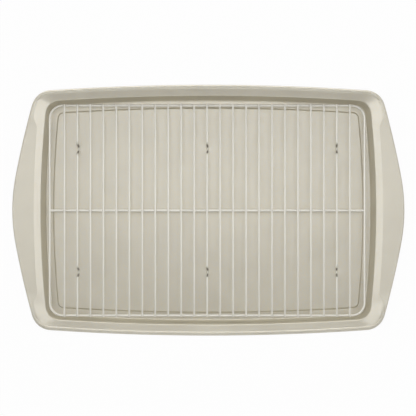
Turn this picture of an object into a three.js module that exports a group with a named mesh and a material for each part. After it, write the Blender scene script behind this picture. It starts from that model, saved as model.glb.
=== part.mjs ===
// Sheet pan with a loose wire rack standing in it.
// Millimetres, +Z up. The origin is the middle of the pan, on the surface that it stands on.
// +X runs along the pan to its right handle, +Y across it to its back side.
import * as THREE from "three";

// Pan, one pressed sheet: plan sizes are taken at the middle of each side
const sheet = 0.8; // thickness of the sheet
const openingLength = 401.6; // between the top edges of the two end walls
const openingWidth = 274.4; // between the top edges of the two side walls
const endBowRadius = 1130; // plan curve of the ends
const sideBowRadius = 2750; // plan curve of the sides
const openingCornerRadius = 17; // plan corner at the top edge of the wall
const wallDepth = 19.2; // from the gutter up to the top edge of the wall
const wallRun = 4.5; // how far the wall leans out over that depth
const footBend = 3; // inside bend between the gutter and the wall
const edgeBend = 1.4; // inside bend between the wall and the flange
const gutterWidth = 9.1; // flat channel between the wall and the raised floor
const floorRise = 1.2; // height of the raised floor above the gutter
const floorStepRun = 1.2; // plan width of the step up to the floor
const floorBend = 0.6; // inside bends of that step
const floorCornerRadius = 7; // plan corner of the raised floor
const endFlange = 8.2; // plan width of the flange along the ends
const sideFlange = 7.9; // plan width of the flange along the sides
const flangeRise = 2.8; // how far the flange climbs outwards
const flangeBend = 1; // inside bend where the flange turns flat into a handle
const flangeRow = 0.4; // between the last rows of the flange where it runs straight into the bead

// Curled bead round the whole edge, standing up along the sides and corners
const beadRadius = 2.6; // outside of the curl
const beadLift = 1.15; // crest of the curl above the rim
const beadFillet = 1.6; // hollow bend that leads up into the curl
const beadEnd = -130; // angle at which the curl stops, in degrees from straight out
const beadTurn = 32; // turn of the outer corner over which the bead rises, in degrees
const handleBeadLift = 0.06; // crest of the curl above the handles

// Wing handles, the flat rim drawn out at both ends
const handleReach = 34; // from the top edge of the end wall to the tip
const noseRadius = 215; // plan curve of the tip
const noseAngle = 10.4; // half of the angle that the tip takes up, in degrees
const flankRadius = 950; // plan curve from the tip to the corner
const outerCornerRadius = 24; // plan corner of the outer edge
const shoulderLength = 18; // stretch before the opening's corner where the flange widens to reach the bead

// Rack of round wire
const frameWire = 2.6; // wire of the frame
const barWire = 2.6; // wire of the middle bar
const crossWire = 2.2; // wire of the cross wires and feet
const rackHeight = 14; // from the raised floor up to the middle of the cross wires
const frameCornerRadius = 15.6; // corner of the frame, to the middle of its wire
const crossPitch = 15.58; // between cross wires
const footInset = 52; // from the frame's side to a row of feet
const footLean = 21; // slope of a foot's legs from upright, in degrees
const toeBend = 2.1; // inside bend at the bottom of a foot
const kneeBend = 1.4; // inside bend at the top of a foot
const footRoll = 3; // how far the feet hang over to the right, in degrees

// Clearances
const leftGap = 0.9; // frame to the least length between the end walls, on the left
const rightGap = 3.9; // the same on the right
const frontGap = 1.45; // frame to the least width between the side walls, at the front
const backGap = 2.45; // the same at the back
const seatGap = 0.1; // foot to floor
const weldGap = 0.1; // wire to wire
const buttGap = 0.3; // between the two ends of the frame's wire

// Facets
const noseSteps = 2;
const flankSteps = 2;
const shoulderSteps = 3;
const endSteps = noseSteps + flankSteps + shoulderSteps;
const cornerSteps = 9;
const leadSteps = 1;
const riseSteps = 3;
const sideSteps = 4;
const bendSteps = 2;
const flangeSteps = 1;
const footSteps = 4;
const edgeSteps = 3;
const filletSteps = 2;
const curlSteps = 9;
const wireSides = 10;
const wireBendSteps = 5;
const toeSteps = 6;
const frameCornerSteps = 7;

const degrees = THREE.MathUtils.degToRad;
const plan = (x, y) => new THREE.Vector2(x, y);

// Heights of the sheet's upper skin
const gutterTop = sheet;
const floorTop = gutterTop + floorRise;
const edgeTop = gutterTop + wallDepth;
const rimTop = edgeTop + flangeRise;

// Points along an arc, each with the normal on the left of its direction of travel
function arc(centre, radius, from, to, steps) {
  const outwards = from > to ? 1 : -1;
  return Array.from({ length: steps + 1 }, (_, i) => {
    const angle = THREE.MathUtils.lerp(from, to, i / steps);
    const radial = plan(Math.cos(angle), Math.sin(angle));
    return {
      point: centre.clone().addScaledVector(radial, radius),
      normal: radial.multiplyScalar(outwards),
    };
  });
}

// The rounded corners of a bent line; its first and last points only give directions
function bends(corners) {
  return corners.slice(1, -1).flatMap(({ at, radius, steps }, i) => {
    const into = at.clone().sub(corners[i].at).normalize();
    const out = corners[i + 2].at.clone().sub(at).normalize();
    const turn = Math.atan2(into.cross(out), into.dot(out));
    const setback = radius * Math.tan(Math.abs(turn) / 2);
    const start = at.clone().addScaledVector(into, -setback);
    const left = plan(-into.y, into.x).multiplyScalar(Math.sign(turn));
    const centre = start.clone().addScaledVector(left, radius);
    const from = left.negate().angle();
    return arc(centre, radius, from, from + turn, steps);
  });
}

// The circle of a given radius that lies against the inside of two larger ones
function innerCircle(a, b, radius) {
  const reachA = a.radius - radius;
  const reachB = b.radius - radius;
  const apart = b.centre.clone().sub(a.centre);
  const distance = apart.length();
  const along = (reachA ** 2 - reachB ** 2 + distance ** 2) / (2 * distance);
  const aside = Math.sqrt(reachA ** 2 - along ** 2);
  const unit = apart.divideScalar(distance);
  const across = plan(-unit.y, unit.x);
  const centre = a.centre.clone().addScaledVector(unit, along).addScaledVector(across, aside);
  return { centre, radius };
}

// Direction in which an inner circle touches the larger one round it
function touchAngle(outer, inner) {
  return inner.centre.clone().sub(outer.centre).angle();
}

// A closed plan outline from the arcs of one quarter, mirrored about both axes
// Each arc may give two shares at its start and end: how far the rim keeps to the bead,
// and how high the bead stands
function outline(arcs) {
  const quarter = arcs.flatMap(({ centre, radius, to, steps, rim = [0, 0], bead = [0, 0] }, i) => {
    const from = i ? arcs[i - 1].to : 0;
    const stations = arc(centre, radius, from, to, steps).map((station, j) => {
      const along = THREE.MathUtils.smoothstep(j, 0, steps);
      return {
        ...station,
        rimShare: THREE.MathUtils.lerp(...rim, along),
        beadShare: THREE.MathUtils.lerp(...bead, along),
      };
    });
    return stations.slice(i ? 1 : 0);
  });
  const flip = (stations, x, y) =>
    stations.map(({ point, normal, ...shares }) => ({
      point: point.clone().multiply(plan(x, y)),
      normal: normal.clone().multiply(plan(x, y)),
      ...shares,
    }));
  const onwards = quarter.slice(0, -1);
  const back = quarter.slice(1).reverse();
  return [...flip(onwards, 1, 1), ...flip(back, -1, 1), ...flip(onwards, -1, -1), ...flip(back, 1, -1)];
}

// Arc of a long side that bulges to the given half width
function sideArc(halfWidth) {
  return { centre: plan(0, halfWidth - sideBowRadius), radius: sideBowRadius };
}

// A rectangle with bowed sides and round corners, its ends parted where the shoulders start
function bowedOutline(halfLength, halfWidth, cornerRadius) {
  const end = { centre: plan(halfLength - endBowRadius, 0), radius: endBowRadius };
  const side = sideArc(halfWidth);
  const corner = innerCircle(end, side, cornerRadius);
  const cornerFrom = touchAngle(end, corner);
  const shoulderFrom = Math.asin(Math.sin(cornerFrom) - shoulderLength / endBowRadius);
  return outline([
    { ...end, to: shoulderFrom, steps: noseSteps + flankSteps },
    { ...end, to: cornerFrom, steps: shoulderSteps },
    { ...corner, to: touchAngle(side, corner), steps: cornerSteps },
    { ...side, to: Math.PI / 2, steps: sideSteps },
  ]);
}

// Outer edge of the bead, drawn out into a handle at each end
// Its flank and side are parted abreast of the opening's shoulders and corners
function edgeOutline(halfWidth) {
  const tip = openingLength / 2 + handleReach;
  const nose = { centre: plan(tip - noseRadius, 0), radius: noseRadius };
  const joint = degrees(noseAngle);
  const inwards = plan(Math.cos(joint), Math.sin(joint)).multiplyScalar(noseRadius - flankRadius);
  const flank = { centre: nose.centre.clone().add(inwards), radius: flankRadius };
  const side = sideArc(halfWidth);
  const corner = innerCircle(flank, side, outerCornerRadius);
  const cornerFrom = touchAngle(flank, corner);
  const abreast = (station) => Math.asin((station.point.y - flank.centre.y) / flankRadius);
  const sidePart = Math.acos(opening[endSteps + cornerSteps].point.x / sideBowRadius);
  const flat = { rim: [1, 1] };
  const raised = { rim: [1, 1], bead: [1, 1] };
  const restSteps = cornerSteps - 2 * leadSteps - riseSteps;
  return outline([
    { ...nose, to: joint, steps: noseSteps },
    { ...flank, to: abreast(opening[endSteps - shoulderSteps]), steps: flankSteps },
    { ...flank, to: abreast(opening[endSteps]), steps: shoulderSteps, rim: [0, 1] },
    { ...flank, ...flat, to: cornerFrom, steps: leadSteps },
    { ...corner, ...flat, to: cornerFrom + degrees(beadTurn), steps: riseSteps, bead: [0, 1] },
    { ...corner, ...raised, to: touchAngle(side, corner), steps: restSteps },
    { ...side, ...raised, to: sidePart, steps: leadSteps },
    { ...side, ...raised, to: Math.PI / 2, steps: sideSteps },
  ]);
}

// Outer edge of the flange: on a curve of its own beside the handles, at the foot of the bead elsewhere
function rimOutline(edge, beadFoot) {
  const middle = openingLength / 2 + endFlange - endBowRadius;
  return edge.map(({ point, normal, rimShare, beadShare }) => {
    const side = Math.sign(point.x);
    const away = plan(side * Math.sqrt(endBowRadius ** 2 - point.y ** 2), point.y).divideScalar(endBowRadius);
    const atHandle = plan(side * middle, 0).addScaledVector(away, endBowRadius);
    const atBead = point.clone().addScaledVector(normal, -beadFoot);
    return {
      point: atHandle.lerp(atBead, rimShare),
      normal: away.negate().lerp(normal, rimShare).normalize(),
      rimShare,
      beadShare,
    };
  });
}

// Curl of the bead: a hollow bend off a rim that comes in at a slope, then the round over and under
function beadProfile(lift, slope) {
  const reach = beadRadius + beadFillet;
  const rise = Math.acos((beadRadius - lift + beadFillet * Math.cos(slope)) / reach);
  const curlCentre = plan(-beadRadius, rimTop + lift - beadRadius);
  const towardsFillet = plan(-Math.sin(rise), Math.cos(rise));
  const filletCentre = curlCentre.clone().addScaledVector(towardsFillet, reach);
  const down = -Math.PI / 2;
  const up = Math.PI / 2;
  return [
    ...arc(filletCentre, beadFillet, down + slope, down + rise, filletSteps),
    ...arc(curlCentre, beadRadius, up + rise, degrees(beadEnd), curlSteps).slice(1),
  ];
}

const opening = bowedOutline(openingLength / 2, openingWidth / 2, openingCornerRadius);

// Sections of the pan's upper skin from the floor out to the bead, each measured from its own outline
// Each row has two forms, one beside the handles and one where the bead stands up
function panProfile() {
  const floorEdge = wallRun + gutterWidth;
  const floor = bowedOutline(openingLength / 2 - floorEdge, openingWidth / 2 - floorEdge, floorCornerRadius);
  const slope = Math.atan2(flangeRise, sideFlange);
  const handleBead = beadProfile(handleBeadLift, 0);
  const sideBead = beadProfile(beadLift, slope);
  const beadFoot = sideBead[0].point.x;
  const edge = edgeOutline(openingWidth / 2 + sideFlange - beadFoot);
  const rim = rimOutline(edge, beadFoot);
  const halfStep = floorStepRun / 2;
  const step = bends([
    { at: plan(-floorEdge, floorTop) },
    { at: plan(-halfStep, floorTop), radius: floorBend + sheet, steps: bendSteps },
    { at: plan(halfStep, gutterTop), radius: floorBend, steps: bendSteps },
    { at: plan(floorEdge, gutterTop) },
  ]);
  const wall = bends([
    { at: plan(-floorEdge, gutterTop) },
    { at: plan(-wallRun, gutterTop), radius: footBend, steps: footSteps },
    { at: plan(0, edgeTop), radius: edgeBend + sheet, steps: edgeSteps },
    { at: plan(sideFlange, rimTop) },
  ]);
  const handleFlange = bends([
    { at: plan(-endFlange, edgeTop) },
    { at: plan(0, rimTop), radius: flangeBend + sheet, steps: flangeSteps },
    { at: plan(endFlange, rimTop) },
  ]);
  const sideFlangeEnd = handleFlange.map((_, i) => {
    const back = flangeRow * (handleFlange.length - i);
    return {
      point: plan(-back, rimTop - back * Math.tan(slope)),
      normal: plan(-Math.sin(slope), Math.cos(slope)),
    };
  });
  const rows = (base, low, high) => low.map((row, i) => ({ base, low: row, high: high[i] }));
  return [
    ...rows(floor, step, step),
    ...rows(opening, wall, wall),
    ...rows(rim, handleFlange, sideFlangeEnd),
    ...rows(edge, handleBead, sideBead),
  ];
}

// A row of the section carried round its outline, sunk into the sheet by a depth
// Where the rim keeps to the bead, a flat edge lies as high as the bead's crest
function ring({ base, low, high }, depth) {
  return base.map(({ point, normal, rimShare, beadShare }) => {
    const across = low.normal.clone().lerp(high.normal, beadShare).normalize();
    const flat = plan(low.point.x, low.point.y + rimShare * (beadLift - handleBeadLift));
    const at = flat.lerp(high.point, beadShare).addScaledVector(across, -depth);
    const moved = point.clone().addScaledVector(normal, -at.x);
    return new THREE.Vector3(moved.x, moved.y, at.y);
  });
}

// A closed skin through rings of equally many points, capped at the middle of its first and last ring
function loft(rings) {
  const count = rings[0].length;
  const last = rings.length - 1;
  const poles = [new THREE.Vector3(0, 0, rings[0][0].z), new THREE.Vector3(0, 0, rings[last][0].z)];
  const index = [];
  const firstPole = rings.length * count;
  for (let j = 0; j < count; j += 1) {
    const next = (j + 1) % count;
    index.push(firstPole, j, next);
    for (let i = 0; i < last; i += 1) {
      const [a, b, c, d] = [i * count + j, (i + 1) * count + j, (i + 1) * count + next, i * count + next];
      index.push(a, b, c, a, c, d);
    }
    index.push(firstPole + 1, last * count + next, last * count + j);
  }
  const geometry = new THREE.BufferGeometry().setFromPoints([...rings.flat(), ...poles]);
  geometry.setIndex(index);
  geometry.computeVertexNormals();
  return geometry;
}

// The sheet: out along the upper skin to the end of the curl, and back along the lower one
function panGeometry() {
  const profile = panProfile();
  const upper = profile.map((row) => ring(row, 0));
  const lower = profile.map((row) => ring(row, sheet));
  return loft([...upper, ...lower.reverse()]);
}

// The middle line of a wire, with one ring of facets at each of its points
class WireLine extends THREE.Curve {
  constructor(points) {
    super();
    this.points = points;
  }

  getSpacedPoints() {
    return this.points;
  }

  getTangentAt(u, target = new THREE.Vector3()) {
    const last = this.points.length - 1;
    const i = Math.round(u * last);
    const at = this.points[i];
    const before = this.points[Math.max(i - 1, 0)];
    const after = this.points[Math.min(i + 1, last)];
    const into = at.clone().sub(before).normalize();
    return target.subVectors(after, at).normalize().add(into).normalize();
  }
}

function wireGeometry(points, diameter) {
  const section = new THREE.Shape().absarc(0, 0, diameter / 2, 0, 2 * Math.PI);
  return new THREE.ExtrudeGeometry(section, {
    curveSegments: wireSides / 2,
    steps: points.length - 1,
    extrudePath: new WireLine(points),
  });
}

// Heights of the rack's wires, to their middles
const crossHeight = floorTop + rackHeight;
const frameHeight = crossHeight - (crossWire + frameWire) / 2 - weldGap;
const barHeight = crossHeight - (crossWire + barWire) / 2 - weldGap;

// The frame fills the narrowest room inside the wall, at the height of its underside
const wallLean = wallRun / wallDepth;
const wallAtFrame = -wallLean * (edgeTop - frameHeight + frameWire / 2);
const endSeat = opening[endSteps];
const sideSeat = opening[endSteps + cornerSteps];
const roomHalfLength = endSeat.point.x - wallAtFrame * endSeat.normal.x;
const roomHalfWidth = sideSeat.point.y - wallAtFrame * sideSeat.normal.y;
const frameHalfLength = roomHalfLength - (leftGap + rightGap + frameWire) / 2;
const frameHalfWidth = roomHalfWidth - (frontGap + backGap + frameWire) / 2;
const rackMiddle = plan(leftGap - rightGap, frontGap - backGap).divideScalar(2);
const crossEnd = frameHalfWidth + frameWire / 2;

// Starts and ends at the butt weld in the middle of the back side
function frameLine() {
  const corner = (x, y) => ({ at: plan(x, y), radius: frameCornerRadius, steps: frameCornerSteps });
  const start = plan(buttGap / 2, frameHalfWidth);
  const end = plan(-buttGap / 2, frameHalfWidth);
  const turns = bends([
    { at: start },
    corner(frameHalfLength, frameHalfWidth),
    corner(frameHalfLength, -frameHalfWidth),
    corner(-frameHalfLength, -frameHalfWidth),
    corner(-frameHalfLength, frameHalfWidth),
    { at: end },
  ]);
  const line = [start, ...turns.map(({ point }) => point), end];
  return line.map(({ x, y }) => new THREE.Vector3(x, y, frameHeight));
}

// Butts against the inner sides of the frame's ends
function barLine() {
  const half = frameHalfLength - frameWire / 2 - weldGap;
  return [new THREE.Vector3(-half, 0, barHeight), new THREE.Vector3(half, 0, barHeight)];
}

// A cross wire from front to back, dipping into a V at each row of feet if it carries any
// What dips also hangs over to the right
function crossLine(x, rows) {
  const lean = degrees(footLean);
  const toeRadius = toeBend + crossWire / 2;
  const kneeRadius = kneeBend + crossWire / 2;
  const toe = floorTop + seatGap + crossWire / 2;
  const point = toe - toeRadius * (1 / Math.sin(lean) - 1);
  const spread = (crossHeight - point) * Math.tan(lean);
  const knee = (y) => ({ at: plan(y, crossHeight), radius: kneeRadius, steps: wireBendSteps });
  const start = plan(-crossEnd, crossHeight);
  const end = plan(crossEnd, crossHeight);
  const feet = rows.flatMap((row) => [
    knee(row - spread),
    { at: plan(row, point), radius: toeRadius, steps: toeSteps },
    knee(row + spread),
  ]);
  const turns = bends([{ at: start }, ...feet, { at: end }]);
  const line = [start, ...turns.map((turn) => turn.point), end];
  const aside = Math.tan(degrees(footRoll));
  return line.map((at) => new THREE.Vector3(x + (crossHeight - at.y) * aside, at.x, at.y));
}

// Satin coated steel
function coating() {
  return new THREE.MeshStandardMaterial({ color: 0xcbc7bb, roughness: 0.45, metalness: 0.6 });
}

// Bright plated wire
function plating() {
  return new THREE.MeshStandardMaterial({ color: 0xe4e1d8, roughness: 0.25, metalness: 0.9 });
}

function named(name, geometry, material) {
  const mesh = new THREE.Mesh(geometry, material);
  mesh.name = name;
  return mesh;
}

// Cross wires lie on the straight stretch of the frame's sides
// The second one from each end and the middle one carry the feet
function rack() {
  const group = new THREE.Group();
  group.position.set(rackMiddle.x, rackMiddle.y, 0);
  group.add(named("rack_frame", wireGeometry(frameLine(), frameWire), plating()));
  group.add(named("rack_bar", wireGeometry(barLine(), barWire), plating()));
  const half = Math.floor((frameHalfLength - frameCornerRadius) / crossPitch);
  const row = frameHalfWidth - footInset;
  for (let i = -half; i <= half; i += 1) {
    const hasFeet = i === 0 || Math.abs(i) === half - 1;
    const kind = hasFeet ? "foot_wire" : "cross_wire";
    const number = String(i + half + 1).padStart(2, "0");
    const line = crossLine(i * crossPitch, hasFeet ? [-row, row] : []);
    group.add(named(`${kind}_${number}`, wireGeometry(line, crossWire), plating()));
  }
  return group;
}

const sheetPan = new THREE.Group();
sheetPan.add(named("pan", panGeometry(), coating()));
sheetPan.add(rack());

export default sheetPan;
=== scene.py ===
import bpy
import numpy as np
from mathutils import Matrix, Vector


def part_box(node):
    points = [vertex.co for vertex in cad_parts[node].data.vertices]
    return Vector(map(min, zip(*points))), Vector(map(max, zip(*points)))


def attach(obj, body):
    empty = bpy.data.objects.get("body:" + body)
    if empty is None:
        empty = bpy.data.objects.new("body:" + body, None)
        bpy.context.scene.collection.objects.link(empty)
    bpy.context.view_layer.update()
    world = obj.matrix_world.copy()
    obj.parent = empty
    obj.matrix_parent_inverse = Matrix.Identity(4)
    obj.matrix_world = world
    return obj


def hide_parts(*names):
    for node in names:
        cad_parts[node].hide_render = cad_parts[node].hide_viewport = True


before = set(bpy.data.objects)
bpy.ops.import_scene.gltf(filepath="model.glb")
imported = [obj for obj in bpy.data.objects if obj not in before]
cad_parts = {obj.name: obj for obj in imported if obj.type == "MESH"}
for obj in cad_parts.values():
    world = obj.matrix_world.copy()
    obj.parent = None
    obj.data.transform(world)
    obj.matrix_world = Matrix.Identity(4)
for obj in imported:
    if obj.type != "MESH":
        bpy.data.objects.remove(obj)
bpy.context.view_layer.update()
mm = 0.001  # the pieces are sized in millimetres, the scene is in metres
print("frame loaded,", len(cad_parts), "nodes")


# one socket of a node tree; sums and products with it add Math nodes
class Flow:
    def __init__(self, tree, socket=None):
        self.tree = tree
        self.socket = socket

    def node(self, kind, settings=None, inputs=None, output=0):
        made = self.tree.nodes.new(kind)
        for key, setting in (settings or {}).items():
            setattr(made, key, setting)
        for key, given in (inputs or {}).items():
            if isinstance(given, Flow):
                self.tree.links.new(given.socket, made.inputs[key])
            else:
                made.inputs[key].default_value = given
        return Flow(self.tree, made.outputs[output] if made.outputs else None)

    def math(self, operation, first, second):
        return self.node("ShaderNodeMath", {"operation": operation}, {0: first, 1: second})

    def __add__(self, other):
        return self.math("ADD", self, other)

    def __sub__(self, other):
        return self.math("SUBTRACT", self, other)

    def __rsub__(self, other):
        return self.math("SUBTRACT", other, self)

    def __mul__(self, other):
        return self.math("MULTIPLY", self, other)

    __radd__ = __add__
    __rmul__ = __mul__


grainMiddle = 0.5  # the level that noise lies around
colourMix = {"share": 0, "low": 6, "high": 7, "result": 2}  # numbers of a Mix node's sockets for colours


def newFinish(name):
    finish = bpy.data.materials.new(name)
    finish.use_nodes = True
    finish.node_tree.nodes.clear()
    return finish, Flow(finish.node_tree)


def grain(flow, place, size, detail):
    # noise with lumps of about the given size, running from 0 to 1
    inputs = {"Vector": place, "Scale": 1 / (size * mm), "Detail": detail}
    return flow.node("ShaderNodeTexNoise", inputs=inputs)


def climb(flow, level, start, whole):
    # a share that is 0 as far as the start and climbs evenly to 1, where it is whole
    inputs = {"Value": level, "From Min": start, "From Max": whole}
    return flow.node("ShaderNodeMapRange", inputs=inputs)


def blended(flow, share, low, high):
    # two colours mixed, each of them plain or from a node
    low, high = (tone if isinstance(tone, Flow) else (*tone, 1) for tone in (low, high))
    inputs = {colourMix["share"]: share, colourMix["low"]: low, colourMix["high"]: high}
    return flow.node("ShaderNodeMix", {"data_type": "RGBA"}, inputs, colourMix["result"])


def finishOff(flow, looks, relief, height, strength):
    # a Principled surface with the given looks, raised by a relief
    bump = flow.node("ShaderNodeBump", inputs={
        "Strength": strength, "Distance": height * mm, "Height": relief})
    surface = flow.node("ShaderNodeBsdfPrincipled", inputs={**looks, "Normal": bump})
    flow.node("ShaderNodeOutputMaterial", inputs={"Surface": surface})


coat = {  # a warm lacquer, about half of it covered by silver flakes
    "lacquer": {"deep": (0.63, 0.55, 0.37), "pale": (0.73, 0.645, 0.43), "roughness": 0.5},
    "silver": {"deep": (0.56, 0.565, 0.56), "pale": (0.66, 0.665, 0.66), "roughness": 0.38},
    "flake": (0.3, 1.0), "cloud": (42, 2.0), "peel": (1.3, 2.0),  # size and detail of each grain
    "flakeEdge": (0.36, 0.64),  # levels of the flake grain at which a flake starts and is whole
    "cloudGloss": 0.06,  # by how much the drifts of colour change the roughness
    "peelHeight": 0.010, "peelStrength": 0.35,  # relief of the orange peel
}


def coatingFinish():
    finish, flow = newFinish("champagne_coating")
    lacquer, silver = coat["lacquer"], coat["silver"]
    place = flow.node("ShaderNodeTexCoord", output="Object")
    clouds = grain(flow, place, *coat["cloud"])
    peel = grain(flow, place, *coat["peel"])
    flakes = climb(flow, grain(flow, place, *coat["flake"]), *coat["flakeEdge"])
    tones = [blended(flow, clouds, part["deep"], part["pale"]) for part in (lacquer, silver)]
    gloss = lacquer["roughness"] + flakes * (silver["roughness"] - lacquer["roughness"])
    looks = {
        "Base Color": blended(flow, flakes, *tones),
        "Metallic": flakes,
        "Roughness": gloss + (clouds - grainMiddle) * coat["cloudGloss"],
    }
    finishOff(flow, looks, peel, coat["peelHeight"], coat["peelStrength"])
    return finish


plate = {
    "deep": (0.79, 0.77, 0.71), "pale": (0.87, 0.85, 0.785),  # bright plating with a warm cast
    "paintedLegShade": (0.34, 0.32, 0.275),  # painted shade on the legs of the feet, which stand in shadow under the rack
    "knee": (14.6, 12.6), "toe": (4.6, 6.4),  # heights at which the painted shade starts and is whole
    "blush": (18, 2.0), "drawLine": (0.25, 1.0),  # size and detail of the drifts and the drawing marks
    "metallic": 0.5, "roughness": 0.45,
    "blushGloss": 0.10,  # by how much the drifts change the roughness
    "lineHeight": 0.006, "lineStrength": 0.25,  # relief of the drawing marks
}


def platingFinish(name, shadeLegs):
    finish, flow = newFinish(name)
    place = flow.node("ShaderNodeTexCoord", output="Object")
    blush = grain(flow, place, *plate["blush"])
    lines = grain(flow, place, *plate["drawLine"])
    tone = blended(flow, blush, plate["deep"], plate["pale"])
    # on the feet's legs the tone darkens to a painted shade between the toe and the knee
    if shadeLegs:
        height = flow.node("ShaderNodeSeparateXYZ", inputs={"Vector": place}, output="Z")
        ends = [[level * mm for level in plate[end]] for end in ("knee", "toe")]
        knee, toe = (climb(flow, height, *levels) for levels in ends)
        tone = blended(flow, knee * toe, tone, plate["paintedLegShade"])
    looks = {
        "Base Color": tone,
        "Metallic": plate["metallic"],
        "Roughness": plate["roughness"] + (blush - grainMiddle) * plate["blushGloss"],
    }
    finishOff(flow, looks, lines, plate["lineHeight"], plate["lineStrength"])
    return finish


coating = coatingFinish()
plating = platingFinish("bright_plating", False)
# the foot wires' plating, with a painted shade on the legs of the feet
legShadedPlating = platingFinish("leg_shaded_plating", True)
print("finishes mixed")


def unit(vectors):
    return vectors / np.linalg.norm(vectors, axis=-1, keepdims=True)


def arc(centre, radius, start, end, steps):
    # points on a circle between two angles, each with the unit normal on the left of the way along
    angle = np.linspace(start, end, steps + 1)
    radial = np.stack([np.cos(angle), np.sin(angle)], axis=-1)
    leftward = np.sign(np.subtract(start, end))[..., None]
    return np.concatenate([np.add(centre, radius * radial), radial * leftward], axis=-1)


def bends(line, lead=0.08):
    # rounds the inner corners of a bent line: each arc touches both legs
    # at a distance of radius * tan(turn / 2) from its corner
    # a short lead on either leg keeps the flat beside the bend flat
    # a point or a radius may be a row of them, one for each station
    rounds = []
    for (before, *_), (at, radius, steps), (after, *_) in zip(line, line[1:], line[2:]):
        into = unit(np.atleast_2d(np.subtract(at, before)))
        out = unit(np.atleast_2d(np.subtract(after, at)))
        turn = np.arctan2(into[:, 0] * out[:, 1] - into[:, 1] * out[:, 0], np.sum(into * out, axis=1))
        left = np.sign(turn)[:, None] * into[:, ::-1] * (-1, 1)
        radius = np.atleast_1d(radius)[:, None]
        centre = at - into * radius * np.tan(np.abs(turn) / 2)[:, None] + left * radius
        start = np.arctan2(-left[:, 1], -left[:, 0])
        bend = arc(centre, radius, start, start + turn, steps)
        ahead, behind = bend[:1].copy(), bend[-1:].copy()
        ahead[..., :2] -= lead * into
        behind[..., :2] += lead * out
        rounds.append(np.concatenate([ahead, bend, behind]))
    stations = max(part.shape[1] for part in rounds)
    return np.concatenate([np.broadcast_to(part, (len(part), stations, part.shape[2])) for part in rounds])


def innerCircle(a, b, radius):
    # circle of a given radius against the inside of two larger ones, from the triangle of their middles
    (middleA, radiusA), (middleB, radiusB) = a, b
    reachA, reachB = radiusA - radius, radiusB - radius
    apart = np.subtract(middleB, middleA)
    distance = np.linalg.norm(apart)
    along = (reachA ** 2 - reachB ** 2 + distance ** 2) / (2 * distance)
    aside = np.sqrt(reachA ** 2 - along ** 2)
    towards = apart / distance
    return middleA + towards * along + np.array([-towards[1], towards[0]]) * aside, radius


def touchAngle(outer, inner):
    # the angle on the outer circle at which the inner one touches it
    return np.arctan2(*(inner[0] - outer[0])[::-1])


def allRound(quarter):
    # a quarter outline from +X to +Y, carried round by mirroring it in both axes
    onwards, back = quarter[:-1], quarter[:0:-1]
    flips = [(onwards, 1, 1), (back, -1, 1), (onwards, -1, -1), (back, 1, -1)]
    return np.vstack([part * (x, y, x, y) for part, x, y in flips])


def outline(arcs):
    # arcs of one quarter, each (circle, end angle, steps), one after the other from the +X axis
    starts = [0] + [end for _, end, _ in arcs]
    parts = [arc(*circle, start, end, steps) for (circle, end, steps), start in zip(arcs, starts)]
    return allRound(np.vstack([parts[0]] + [part[1:] for part in parts[1:]]))


def skinFaces(rows, columns):
    # quads between neighbouring rings, and a fan of triangles from a pole at either end
    at = np.arange(rows * columns).reshape(rows, columns)
    turned = np.roll(at, -1, axis=1)
    quads = np.stack([at[:-1], at[1:], turned[1:], turned[:-1]], axis=2).reshape(-1, 4)
    pole = np.full(columns, rows * columns)
    firstFan = np.stack([pole, at[0], turned[0]], axis=1)
    lastFan = np.stack([pole + 1, turned[-1], at[-1]], axis=1)
    return quads.tolist() + firstFan.tolist() + lastFan.tolist()


def addPiece(name, points, faces, finish, body, slot, replaced=()):
    mesh = bpy.data.meshes.new(name)
    mesh.from_pydata((points * mm).tolist(), [], faces)
    mesh.shade_smooth()
    mesh.materials.append(finish)
    piece = bpy.data.objects.new(name, mesh)
    bpy.context.scene.collection.objects.link(piece)
    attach(piece, body)
    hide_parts(*replaced)


def boxOf(node):
    low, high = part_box(node)
    return np.array(low) / mm, np.array(high) / mm


panHigh = boxOf("pan")[1]
pan = {
    "sheet": 0.8, "endBow": 1130, "sideBow": 2750,  # thickness, and plan curves of the ends and the sides
    "wallDepth": 19.2, "wallRun": 4.5, "openingCorner": 17, "footBend": 2.2, "edgeBend": 0.8,
    "gutter": 9.1, "floorRise": 1.2, "stepRun": 1.2, "floorBend": 0.6, "floorCorner": 7,
    "endFlange": 8.2, "sideFlange": 7.9, "flangeRise": 2.8, "flangeBend": 1,
    "beadRadius": 2.6, "beadLift": 1.15, "beadFillet": 1.6, "beadEnd": -130,  # the curl's end in degrees
    "handleReach": 34, "noseRadius": 215, "noseAngle": 10.4, "flankRadius": 950, "outerCorner": 24,
    "handleLift": 0.06,  # the bead hardly stands up along the handles
    "shoulder": 18,  # length over which the rim swings out to the bead
    "shoulderBend": 9,  # by how much the flange's bend softens over the shoulder
    "beadTurn": 32,  # degrees of the outer corner over which the bead rises
    "straightFrom": 0.15, "straightTo": 0.01,  # last rows of the flange beside the bead, shares of its width
    "floorRings": 8,
}
panSteps = {
    "nose": 8, "flank": 12, "shoulder": 14, "corner": 36, "lead": 6, "rise": 14, "side": 18,
    "stepBend": 4, "footBend": 12, "edgeBend": 9, "flangeBend": 5, "fillet": 5, "curl": 20,
}
handleSteps = panSteps["nose"] + panSteps["flank"]
endSteps = handleSteps + panSteps["shoulder"]
gutterTop = pan["sheet"]
floorTop = gutterTop + pan["floorRise"]
edgeTop = gutterTop + pan["wallDepth"]
rimTop = edgeTop + pan["flangeRise"]
floorInset = pan["wallRun"] + pan["gutter"]  # from the opening in to the floor's step


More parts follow.
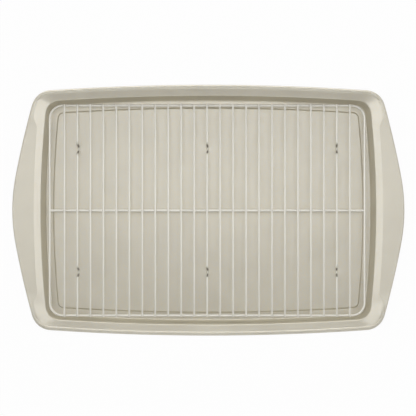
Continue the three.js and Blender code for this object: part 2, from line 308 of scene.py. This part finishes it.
def bowed(halfLength, halfWidth, cornerRadius):
    # a rectangle with bowed sides and round corners, its ends parted where the shoulders start
    end = ((halfLength - pan["endBow"], 0), pan["endBow"])
    side = ((0, halfWidth - pan["sideBow"]), pan["sideBow"])
    corner = innerCircle(end, side, cornerRadius)
    cornerFrom = touchAngle(end, corner)
    shoulderFrom = np.arcsin(np.sin(cornerFrom) - pan["shoulder"] / pan["endBow"])
    return outline([
        (end, shoulderFrom, handleSteps),
        (end, cornerFrom, panSteps["shoulder"]),
        (corner, touchAngle(side, corner), panSteps["corner"]),
        (side, np.pi / 2, panSteps["side"]),
    ])


def handled(tip, halfWidth, opening):
    # the outer edge: a nose and a flank make each handle,
    # parted abreast of the opening's shoulders and corners
    nose = ((tip - pan["noseRadius"], 0), pan["noseRadius"])
    joint = np.radians(pan["noseAngle"])
    inwards = np.array([np.cos(joint), np.sin(joint)]) * (pan["noseRadius"] - pan["flankRadius"])
    flank = (nose[0] + inwards, pan["flankRadius"])
    side = ((0, halfWidth - pan["sideBow"]), pan["sideBow"])
    corner = innerCircle(flank, side, pan["outerCorner"])
    parts = opening[[handleSteps, endSteps, endSteps + panSteps["corner"]]]
    shoulderPart, cornerPart = np.arcsin((parts[:2, 1] - flank[0][1]) / flank[1])
    sidePart = np.arccos(parts[2, 0] / side[1])
    cornerFrom = touchAngle(flank, corner)
    lead, rise = panSteps["lead"], panSteps["rise"]
    return outline([
        (nose, joint, panSteps["nose"]),
        (flank, shoulderPart, panSteps["flank"]),
        (flank, cornerPart, panSteps["shoulder"]),
        (flank, cornerFrom, lead),
        (corner, cornerFrom + np.radians(pan["beadTurn"]), rise),
        (corner, touchAngle(side, corner), panSteps["corner"] - 2 * lead - rise),
        (side, sidePart, lead),
        (side, np.pi / 2, panSteps["side"]),
    ])


def rimLine(edge, tip, foot, share):
    # where the flange ends: on a curve of its own abreast of the handles, x = middle + sqrt(bow^2 - y^2),
    # and along the foot of the bead elsewhere
    bow = pan["endBow"]
    side = np.sign(edge[:, :1])
    away = np.hstack([side * np.sqrt(bow ** 2 - edge[:, 1:2] ** 2), edge[:, 1:2]]) / bow
    atHandle = np.hstack([side * (tip - bow) * (1, 0) + bow * away, -away])
    atBead = np.hstack([edge[:, :2] - foot * edge[:, 2:], edge[:, 2:]])
    rim = atHandle * (1 - share) + atBead * share
    return np.hstack([rim[:, :2], unit(rim[:, 2:])])


def roundShare(start, steps):
    # none for the first stations of each quarter, a smooth rise s * s * (3 - 2 * s) over the next ones,
    # and all from there on
    stations = np.arange(endSteps + panSteps["corner"] + panSteps["side"] + 1)
    rise = np.clip((stations - start) / steps, 0, 1)
    quarter = rise * rise * (3 - 2 * rise)
    return np.concatenate([quarter[:-1], quarter[:0:-1], quarter[:-1], quarter[:0:-1]])[:, None]


def mixed(plain, raised, share):
    # two sections of equally many rows, mixed by a share at each station
    section = plain * (1 - share) + raised * share
    return np.concatenate([section[..., :2], unit(section[..., 2:])], axis=-1)


def stepSection():
    # from the raised floor down into the gutter
    half = pan["stepRun"] / 2
    return bends([
        ((-floorInset, floorTop),),
        ((-half, floorTop), pan["floorBend"] + pan["sheet"], panSteps["stepBend"]),
        ((half, gutterTop), pan["floorBend"], panSteps["stepBend"]),
        ((floorInset, gutterTop),),
    ])


def wallSection(flangeEnd):
    # up from the gutter and over the edge, towards the flange's end
    return bends([
        ((-floorInset, gutterTop),),
        ((-pan["wallRun"], gutterTop), pan["footBend"], panSteps["footBend"]),
        ((0, edgeTop), pan["edgeBend"] + pan["sheet"], panSteps["edgeBend"]),
        (flangeEnd,),
    ])


def flangeSection(width, lift, rimShare, share):
    # the bend from the flange into a flat edge
    crease = lift * (0, 1) + (0, rimTop)
    softBend = pan["flangeBend"] + pan["sheet"] + rimShare[:, 0] * pan["shoulderBend"]
    flat = bends([
        (width * (-1, 0) + (0, edgeTop),),
        (crease, softBend, panSteps["flangeBend"]),
        (crease + (1, 0),),
    ])
    # beside the bead the flange runs straight on, over the same rows
    back = -np.linspace(pan["straightFrom"], pan["straightTo"], len(flat))[:, None, None]
    onwards = np.hstack([width, np.full_like(width, pan["flangeRise"])])
    across = unit(onwards[:, ::-1] * (-1, 1))
    rows = (0, rimTop) + back * onwards
    direct = np.concatenate([rows, np.broadcast_to(across, rows.shape)], axis=-1)
    return mixed(flat, direct, share)


def beadSection(lift, slope):
    # a hollow bend off a rim that comes in at a slope, then the round of the curl over and under
    radius, fillet = pan["beadRadius"], pan["beadFillet"]
    reach = radius + fillet
    rise = np.arccos((radius - lift + fillet * np.cos(slope)) / reach)
    curl = np.array([-radius, rimTop + lift - radius])
    hollow = curl + reach * np.array([-np.sin(rise), np.cos(rise)])
    down, up = -np.pi / 2, np.pi / 2
    return np.vstack([
        arc(hollow, fillet, down + slope, down + rise, panSteps["fillet"]),
        arc(curl, radius, up + rise, np.radians(pan["beadEnd"]), panSteps["curl"])[1:],
    ])


def carried(line, section, depth):
    # a section carried round an outline: out along its normal, up, and down into the sheet by a depth
    out = section[..., 0] - depth * section[..., 2]
    up = section[..., 1] - depth * section[..., 3]
    plan = line[:, :2] - line[:, 2:] * out[..., None]
    height = np.broadcast_to(up[..., None], (*plan.shape[:2], 1))
    return np.concatenate([plan, height], axis=2)


def panShell():
    # sections of the step, wall, flange and bead, each carried round its own outline,
    # over and back under the sheet
    rimShare = roundShare(handleSteps, panSteps["shoulder"])  # how far the rim has swung out to the bead
    share = roundShare(endSteps + panSteps["lead"], panSteps["rise"])  # how much of the bead stands up
    lift = rimShare * (pan["beadLift"] - pan["handleLift"])  # a flat edge climbs to the bead's crest
    raised = beadSection(pan["beadLift"], np.arctan2(pan["flangeRise"], pan["sideFlange"]))
    plain = beadSection(pan["handleLift"], 0)[:, None] + lift * (0, 1, 0, 0)
    bead = mixed(plain, raised[:, None], share)
    beadFoot = raised[0, 0]
    halfLength = panHigh[0] - pan["handleReach"]
    halfWidth = panHigh[1] + beadFoot - pan["sideFlange"]
    opening = bowed(halfLength, halfWidth, pan["openingCorner"])
    floor = bowed(halfLength - floorInset, halfWidth - floorInset, pan["floorCorner"])
    edge = handled(panHigh[0], panHigh[1], opening)
    rim = rimLine(edge, halfLength + pan["endFlange"], beadFoot, rimShare)
    flangeWidth = np.linalg.norm(rim[:, :2] - opening[:, :2], axis=1, keepdims=True)
    flangeEnd = flangeWidth * (1, 0) + (0, rimTop) + lift * (1 - share) * (0, 1)
    flange = flangeSection(flangeWidth, lift, rimShare, share)
    parts = [(floor, stepSection()), (opening, wallSection(flangeEnd)), (rim, flange), (edge, bead)]
    upper = np.concatenate([carried(line, section, 0) for line, section in parts])
    lower = np.concatenate([carried(line, section, pan["sheet"]) for line, section in parts])[::-1]
    shrink = np.linspace(0, 1, pan["floorRings"], endpoint=False)[1:, None, None]
    plane = np.array([1, 1, 0])
    inner = [ring * (1 - plane + plane * shrink) for ring in (upper[:1], lower[-1:])]
    rings = np.concatenate([inner[0], upper, lower, inner[1][::-1]])
    poles = [[0, 0, floorTop], [0, 0, floorTop - pan["sheet"]]]
    points = np.vstack([rings.reshape(-1, 3), poles])
    return points, skinFaces(*rings.shape[:2])


addPiece("pan_shell", *panShell(), coating, "pan", "coating", ["pan"])
print("pan pressed")

rack = {
    "frameCorner": 15.6,  # radius of the wire's middle line
    "toeBend": 2.1, "kneeBend": 1.4,  # inner radii of the feet's bends
    "footInset": 52, "footLean": 21, "footRoll": 3,  # the feet's distance from the frame, then degrees
    "wireSides": 20, "bendSteps": 10, "cornerSteps": 20,
    "endRound": 0.35, "endSteps": 4,  # rims of the cut ends
}
frameLow, frameHigh = boxOf("rack_frame")
barLow, barHigh = boxOf("rack_bar")
frameRadius = (frameHigh[2] - frameLow[2]) / 2
barRadius = (barHigh[2] - barLow[2]) / 2
crossNodes = sorted(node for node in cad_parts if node.startswith(("cross_wire", "foot_wire")))
straightLow, straightHigh = boxOf(next(node for node in crossNodes if node.startswith("cross_wire")))
crossSide, _, crossRadius = (straightHigh - straightLow) / 2  # half widths along X and Z of the faceted wire
footRows = [frameLow[1] + frameRadius + rack["footInset"], frameHigh[1] - frameRadius - rack["footInset"]]
footHang = np.tan(np.radians(rack["footRoll"]))


def wireSkin(path, radius, across):
    # a circle carried along a flat path, across being the normal of the path's plane
    # the cut ends have round rims
    legs = unit(np.diff(path, axis=0))
    heading = unit(np.vstack([legs[:1], legs]) + np.vstack([legs, legs[-1:]]))
    rim = rack["endRound"]
    angle = np.linspace(np.pi / 2, 0, rack["endSteps"] + 1)
    inset = rim * (1 - np.sin(angle))
    thin = radius - rim * (1 - np.cos(angle))
    middle = path[1:-1]
    centres = np.vstack([path[0] + inset[:, None] * legs[0], middle, path[-1] - inset[::-1, None] * legs[-1]])
    radii = np.concatenate([thin, np.full(len(middle), radius), thin[::-1]])
    ends = len(angle)
    along = np.vstack([np.tile(heading[0], (ends, 1)), heading[1:-1], np.tile(heading[-1], (ends, 1))])
    side = np.cross(across, along)
    turn = np.linspace(0, 2 * np.pi, rack["wireSides"], endpoint=False)[None, :, None]
    ring = np.cos(turn) * np.asarray(across, float) + np.sin(turn) * side[:, None]
    points = centres[:, None] + radii[:, None, None] * ring
    return np.vstack([points.reshape(-1, 3), path[:1], path[-1:]]), skinFaces(*points.shape[:2])


def lifted(line, height):
    return np.hstack([line[:, :2], np.full((len(line), 1), height)])


def framePath():
    # a rectangle with round corners, from the butt weld in the middle of the back side round to it again
    low, high = frameLow + frameRadius, frameHigh - frameRadius
    corners = [(high[0], high[1]), (high[0], low[1]), (low[0], low[1]), (low[0], high[1])]
    turns = [(at, rack["frameCorner"], rack["cornerSteps"]) for at in corners]
    butt = ((low[0] + high[0]) / 2, high[1])
    line = bends([(butt,), *turns, (butt,)])[:, 0, :2]
    return lifted(np.vstack([[butt], line, [butt]]), (low[2] + high[2]) / 2)


def barPath():
    _, middle, height = (barLow + barHigh) / 2
    return np.array([[barLow[0], middle, height], [barHigh[0], middle, height]])


def crossPath(low, high, radius, rows):
    # a straight wire from front to back, or one that dips to the height of its underside at each row of feet
    # what dips hangs over to the right by as much as the drop times the tangent of the roll
    height = high[2] - radius
    toeRadius, kneeRadius = rack["toeBend"] + radius, rack["kneeBend"] + radius
    lean = np.radians(rack["footLean"])
    point = low[2] + radius - toeRadius * (1 / np.sin(lean) - 1)
    spread = (height - point) * np.tan(lean)
    start, end = (low[1], height), (high[1], height)
    turns = [turn for row in rows for turn in (
        ((row - spread, height), kneeRadius, rack["bendSteps"]),
        ((row, point), toeRadius, rack["bendSteps"]),
        ((row + spread, height), kneeRadius, rack["bendSteps"]),
    )]
    line = bends([(start,), *turns, (end,)])[:, 0, :2] if rows else np.empty((0, 2))
    line = np.vstack([[start], line, [end]])
    aside = low[0] + crossSide + (height - line[:, 1:]) * footHang
    return np.hstack([aside, line])


def addWire(node, path, radius, across, finish):
    addPiece("drawn_" + node, *wireSkin(path, radius, across), finish, "rack", "plating", [node])


upwards, sideways, hanging = (0, 0, 1), (1, 0, 0), unit(np.array([1, 0, footHang]))
addWire("rack_frame", framePath(), frameRadius, upwards, plating)
addWire("rack_bar", barPath(), barRadius, upwards, plating)
for node in crossNodes:
    footed = node.startswith("foot_wire")
    path = crossPath(*boxOf(node), crossRadius, footRows if footed else [])
    # the foot wires take the plating with the painted shade on their legs
    across, finish = (hanging, legShadedPlating) if footed else (sideways, plating)
    addWire(node, path, crossRadius, across, finish)
print("rack wires drawn,", len(crossNodes), "across")

weld = {  # nuggets, with their half sizes along X, Y and Z
    "spot": (1.5, 1.5, 0.75), "butt": (1.0, 1.42, 1.42), "barEnd": (0.9, 1.45, 1.3),
    "rows": 7, "columns": 12,
}


def lumps(centres, sizes):
    # ellipsoids on one grid of latitude and longitude, a copy of it at each middle
    rise = np.linspace(-np.pi / 2, np.pi / 2, weld["rows"] + 2)[1:-1, None]
    turn = np.linspace(0, 2 * np.pi, weld["columns"], endpoint=False)[None]
    grid = np.broadcast_arrays(np.cos(rise) * np.cos(turn), -np.cos(rise) * np.sin(turn), np.sin(rise))
    ball = np.vstack([np.stack(grid, axis=2).reshape(-1, 3), [[0, 0, -1], [0, 0, 1]]])
    points = (centres[:, None] + sizes[:, None] * ball).reshape(-1, 3)
    faces = skinFaces(weld["rows"], weld["columns"])
    starts = range(0, len(points), len(ball))
    return points, [[start + at for at in face] for start in starts for face in faces]


def rackWelds():
    # a nugget under each cross wire on both sides of the frame and on the bar,
    # one at each end of the bar and one at the butt
    acrossX = np.array([boxOf(node)[0][0] + crossSide for node in crossNodes])
    barMiddle = (barLow[1] + barHigh[1]) / 2
    sides = [frameLow[1] + frameRadius, barMiddle, frameHigh[1] - frameRadius]
    spots = np.stack(np.meshgrid(acrossX, sides, [frameHigh[2]]), axis=-1).reshape(-1, 3)
    frameHeight = frameHigh[2] - frameRadius
    barEnds = np.array([[barLow[0], barMiddle, frameHeight], [barHigh[0], barMiddle, frameHeight]])
    butt = np.array([[(frameLow[0] + frameHigh[0]) / 2, frameHigh[1] - frameRadius, frameHeight]])
    kinds = [(spots, "spot"), (barEnds, "barEnd"), (butt, "butt")]
    sizes = np.vstack([np.tile(weld[kind], (len(places), 1)) for places, kind in kinds])
    return lumps(np.vstack([places for places, _ in kinds]), sizes)


addPiece("rack_welds", *rackWelds(), plating, "rack", "plating")
print("rack welded")

stage = {
    "reach": 6, "drop": 0.0004, "wall": 4, "sides": 96,  # a round floor with a backdrop all round, metres
    "colour": (0.86, 0.86, 0.86), "white": 1, "glow": 0.97,  # glow is the share of plain white that is seen
}


def paleFloor():
    # a disc, and a cylinder that stands up from its edge
    turn = np.linspace(0, 2 * np.pi, stage["sides"], endpoint=False)
    edge = stage["reach"] * np.stack([np.cos(turn), np.sin(turn)], axis=1)
    points = np.vstack([lifted(edge, -stage["drop"]), lifted(edge, stage["wall"])])
    at = np.arange(stage["sides"])
    onwards = np.roll(at, -1)
    wall = np.stack([at, at + stage["sides"], onwards + stage["sides"], onwards], axis=1)
    mesh = bpy.data.meshes.new("floor")
    mesh.from_pydata(points.tolist(), [], [at.tolist(), *wall.tolist()])
    finish, flow = newFinish("pale_floor")
    rays = ("Is Camera Ray", "Is Glossy Ray", "Is Transmission Ray")
    direct, mirrored, through = (flow.node("ShaderNodeLightPath", output=ray) for ray in rays)
    seen = direct + mirrored + through
    paper = flow.node("ShaderNodeBsdfDiffuse", inputs={"Color": (*stage["colour"], 1)})
    white = flow.node("ShaderNodeEmission", inputs={"Strength": stage["white"]})
    surface = flow.node("ShaderNodeMixShader", inputs={0: seen * stage["glow"], 1: paper, 2: white})
    flow.node("ShaderNodeOutputMaterial", inputs={"Surface": surface})
    mesh.materials.append(finish)
    floor = bpy.data.objects.new("floor", mesh)
    bpy.context.scene.collection.objects.link(floor)


studio = {
    "sky": 0.08,  # plain level of the room
    "lamps": {  # place and size in metres, power in watts
        "key": {"at": (0, 0.12, 0.9), "size": (0.6, 0.34), "power": 1.3},
        "strip": {"at": (0, 0.42, 0.9), "size": (1.6, 0.2), "power": 0.3},
        "left": {"at": (-1.15, 0, 2.0), "size": (1.0, 1.6), "power": 8.0},
        "right": {"at": (1.15, 0, 2.0), "size": (1.0, 1.6), "power": 8.0},
        "leftLow": {"at": (-1.6, 0, 1.8), "size": (1.6, 1.9), "power": 4.4},
        "rightLow": {"at": (1.6, 0, 1.8), "size": (1.6, 1.9), "power": 4.4},
        "back": {"at": (0, 2.25, 0.5), "size": (2.4, 0.6), "power": 21},
        "front": {"at": (0, -1.8, 1.4), "size": (1.5, 1.2), "power": 5.2},
    },
}


def studioLight():
    world = bpy.data.worlds.new("studio")
    bpy.context.scene.world = world
    world.use_nodes = True
    world.node_tree.nodes.clear()
    flow = Flow(world.node_tree)
    sky = flow.node("ShaderNodeBackground", inputs={"Color": (1, 1, 1, 1), "Strength": studio["sky"]})
    flow.node("ShaderNodeOutputWorld", inputs={"Surface": sky})
    for name, lamp in studio["lamps"].items():
        light = bpy.data.lights.new(name, "AREA")
        light.shape = "RECTANGLE"
        light.size, light.size_y = lamp["size"]
        light.energy = lamp["power"]
        holder = bpy.data.objects.new(name, light)
        bpy.context.scene.collection.objects.link(holder)
        holder.location = lamp["at"]
        holder.rotation_euler = (-holder.location).to_track_quat("-Z", "Y").to_euler()  # faces the origin


camera = {  # looks straight down
    "above": 1.815, "over": (-0.0004, 0.0026),  # metres
    "lens": 129.7, "sensor": 36,  # millimetres
}


def photoCamera():
    lens = bpy.data.cameras.new("photo_camera")
    lens.lens = camera["lens"]
    lens.sensor_width = camera["sensor"]
    holder = bpy.data.objects.new("photo_camera", lens)
    bpy.context.scene.collection.objects.link(holder)
    holder.location = (*camera["over"], camera["above"])
    bpy.context.scene.camera = holder


paleFloor()
studioLight()
photoCamera()
bpy.context.scene.view_settings.view_transform = "Standard"
print("stage lit")
